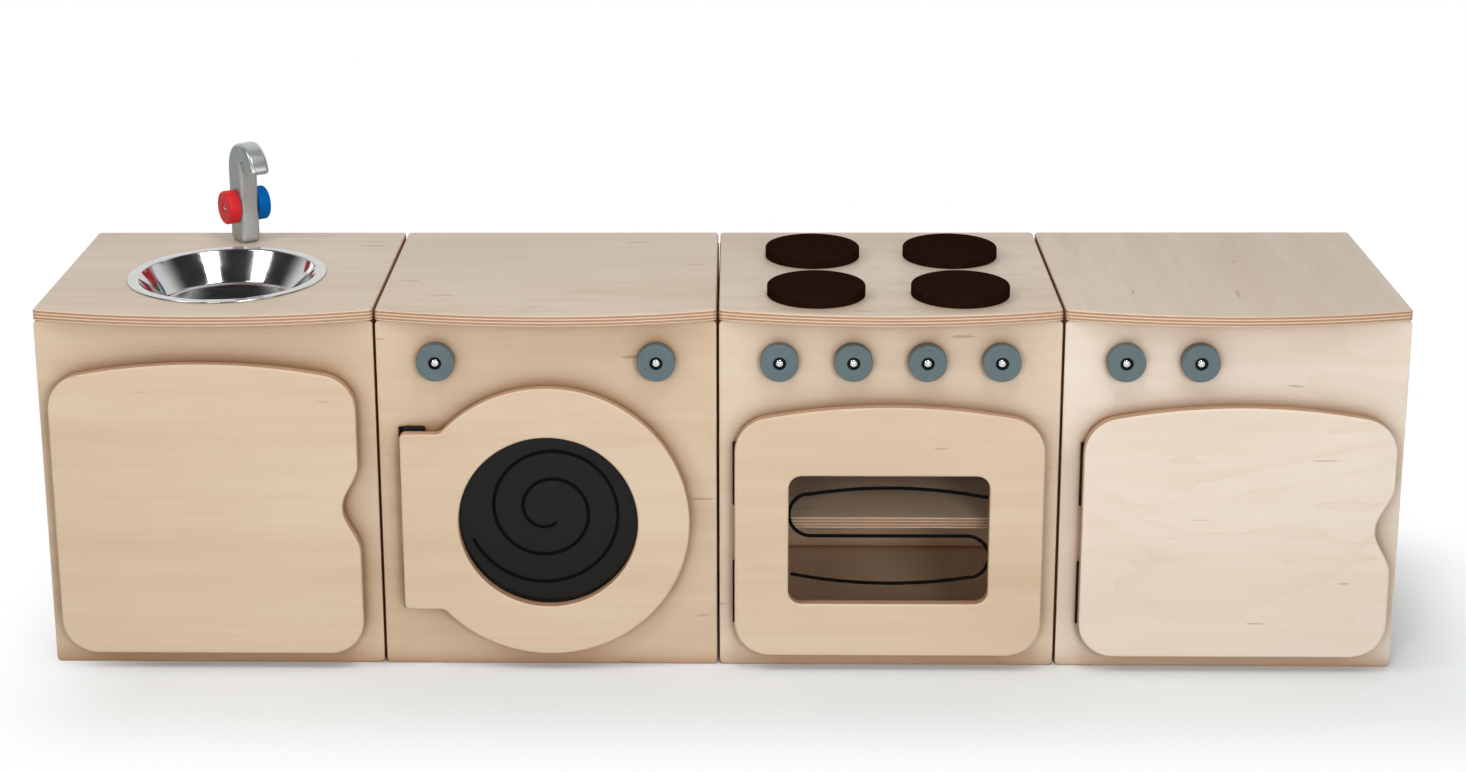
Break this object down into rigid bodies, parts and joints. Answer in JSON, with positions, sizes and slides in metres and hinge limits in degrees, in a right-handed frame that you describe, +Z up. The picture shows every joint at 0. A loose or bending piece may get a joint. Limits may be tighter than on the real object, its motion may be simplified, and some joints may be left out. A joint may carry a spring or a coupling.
{
  "type": "toy kitchen",
  "caption": "Low wooden play kitchen of linked cabinets: sink with steel bowl and hook tap, washing machine with round door, cooker with rings and windowed oven, and a cupboard with dials.",
  "frame": {"origin": "centre of the bounding box at floor level", "axes": "+X along the row of cabinets to the right of someone who stands in front, +Y to the back, +Z up"},
  "size_m": [1.4374, 0.324, 0.5172],
  "materials": {
    "birch_ply": "clear satin lacquer over birch plywood, layers showing on the edges",
    "grey_paint": "satin grey-blue paint on wood",
    "hob_paint": "satin very dark brown paint on wood",
    "silver_paint": "silver metallic paint on wood",
    "red_paint": "gloss red paint on wood",
    "blue_paint": "gloss blue paint on wood",
    "stainless": "polished stainless steel",
    "black_hinge": "black steel",
    "black_acrylic": "polished black acrylic",
    "smoked_acrylic": "polished smoke-tinted see-through acrylic"
  },
  "bodies": {
    "carcass": {"sink_front_panel": "birch_ply", "sink_side_left": "birch_ply", "sink_side_right": "birch_ply", "sink_bottom": "birch_ply", "sink_back": "birch_ply", "sink_worktop": "birch_ply", "washer_front_panel": "birch_ply", "washer_side_left": "birch_ply", "washer_side_right": "birch_ply", "washer_bottom": "birch_ply", "washer_back": "birch_ply", "washer_worktop": "birch_ply", "cooker_front_panel": "birch_ply", "cooker_side_left": "birch_ply", "cooker_side_right": "birch_ply", "cooker_bottom": "birch_ply", "cooker_back": "birch_ply", "cooker_worktop": "birch_ply", "fridge_front_panel": "birch_ply", "fridge_side_left": "birch_ply", "fridge_side_right": "birch_ply", "fridge_bottom": "birch_ply", "fridge_back": "birch_ply", "fridge_worktop": "birch_ply", "oven_shelf": "birch_ply", "sink_hinge_lower_frame_leaf": "black_hinge", "sink_hinge_upper_frame_leaf": "black_hinge", "washer_hinge_lower_frame_leaf": "black_hinge", "washer_hinge_upper_frame_leaf": "black_hinge", "cooker_hinge_lower_frame_leaf": "black_hinge", "cooker_hinge_upper_frame_leaf": "black_hinge", "fridge_hinge_lower_frame_leaf": "black_hinge", "fridge_hinge_upper_frame_leaf": "black_hinge", "hob_ring_1": "hob_paint", "hob_ring_2": "hob_paint", "hob_ring_3": "hob_paint", "hob_ring_4": "hob_paint"},
    "door_sink": {"sink_door": "birch_ply", "sink_hinge_upper_door_leaf": "black_hinge"},
    "door_washer": {"washer_door": "birch_ply", "washer_hinge_upper_door_leaf": "black_hinge", "washer_window": "black_acrylic"},
    "door_cooker": {"cooker_door": "birch_ply", "cooker_hinge_upper_door_leaf": "black_hinge", "cooker_window": "smoked_acrylic"},
    "door_fridge": {"fridge_door": "birch_ply", "fridge_hinge_upper_door_leaf": "black_hinge"},
    "knob_washer_1": {"washer_knob_1": "grey_paint"},
    "knob_washer_2": {"washer_knob_2": "grey_paint"},
    "knob_cooker_1": {"cooker_knob_1": "grey_paint"},
    "knob_cooker_2": {"cooker_knob_2": "grey_paint"},
    "knob_cooker_3": {"cooker_knob_3": "grey_paint"},
    "knob_cooker_4": {"cooker_knob_4": "grey_paint"},
    "knob_fridge_1": {"fridge_knob_1": "grey_paint"},
    "knob_fridge_2": {"fridge_knob_2": "grey_paint"},
    "bowl": {"sink_bowl": "stainless"},
    "tap": {"tap_spout": "silver_paint"},
    "hot_tap": {"hot_handle": "red_paint"},
    "cold_tap": {"cold_handle": "blue_paint"}
  },
  "joints": [
    {"name": "sink_door_hinge", "type": "hinge", "parent": "carcass", "child": "door_sink", "pos_m": [-0.705, -0.1415, 0.17], "axis": [0, 0, -1], "range_deg": [0, 100]},
    {"name": "washer_door_hinge", "type": "hinge", "parent": "carcass", "child": "door_washer", "pos_m": [-0.3354, -0.1415, 0.17], "axis": [0, 0, -1], "range_deg": [0, 100]},
    {"name": "cooker_door_hinge", "type": "hinge", "parent": "carcass", "child": "door_cooker", "pos_m": [0.0167, -0.1415, 0.17], "axis": [0, 0, -1], "range_deg": [0, 100]},
    {"name": "fridge_door_hinge", "type": "hinge", "parent": "carcass", "child": "door_fridge", "pos_m": [0.3818, -0.1415, 0.17], "axis": [0, 0, -1], "range_deg": [0, 100]},
    {"name": "washer_knob_1_turn", "type": "hinge", "parent": "carcass", "child": "knob_washer_1", "pos_m": [-0.2953, -0.144, 0.3445], "axis": [0, -1, 0], "continuous": true},
    {"name": "washer_knob_2_turn", "type": "hinge", "parent": "carcass", "child": "knob_washer_2", "pos_m": [-0.0643, -0.144, 0.3445], "axis": [0, -1, 0], "continuous": true},
    {"name": "cooker_knob_1_turn", "type": "hinge", "parent": "carcass", "child": "knob_cooker_1", "pos_m": [0.0643, -0.144, 0.3445], "axis": [0, -1, 0], "continuous": true},
    {"name": "cooker_knob_2_turn", "type": "hinge", "parent": "carcass", "child": "knob_cooker_2", "pos_m": [0.1413, -0.144, 0.3445], "axis": [0, -1, 0], "continuous": true},
    {"name": "cooker_knob_3_turn", "type": "hinge", "parent": "carcass", "child": "knob_cooker_3", "pos_m": [0.2183, -0.144, 0.3445], "axis": [0, -1, 0], "continuous": true},
    {"name": "cooker_knob_4_turn", "type": "hinge", "parent": "carcass", "child": "knob_cooker_4", "pos_m": [0.2953, -0.144, 0.3445], "axis": [0, -1, 0], "continuous": true},
    {"name": "fridge_knob_1_turn", "type": "hinge", "parent": "carcass", "child": "knob_fridge_1", "pos_m": [0.4239, -0.144, 0.3445], "axis": [0, -1, 0], "continuous": true},
    {"name": "fridge_knob_2_turn", "type": "hinge", "parent": "carcass", "child": "knob_fridge_2", "pos_m": [0.5009, -0.144, 0.3445], "axis": [0, -1, 0], "continuous": true},
    {"name": "bowl_lift", "type": "slide", "parent": "carcass", "child": "bowl", "axis": [0, 0, 1], "range_m": [0, 0.08]},
    {"name": "tap_swivel", "type": "hinge", "parent": "carcass", "child": "tap", "pos_m": [-0.541, 0.13, 0.4003], "axis": [0, 0, 1], "continuous": true},
    {"name": "hot_handle_turn", "type": "hinge", "parent": "tap", "child": "hot_tap", "pos_m": [-0.55592, 0.11993, 0.4413], "axis": [-0.829, -0.5592, 0], "continuous": true},
    {"name": "cold_handle_turn", "type": "hinge", "parent": "tap", "child": "cold_tap", "pos_m": [-0.52608, 0.14007, 0.4413], "axis": [0.829, 0.5592, 0], "continuous": true}
  ]
}
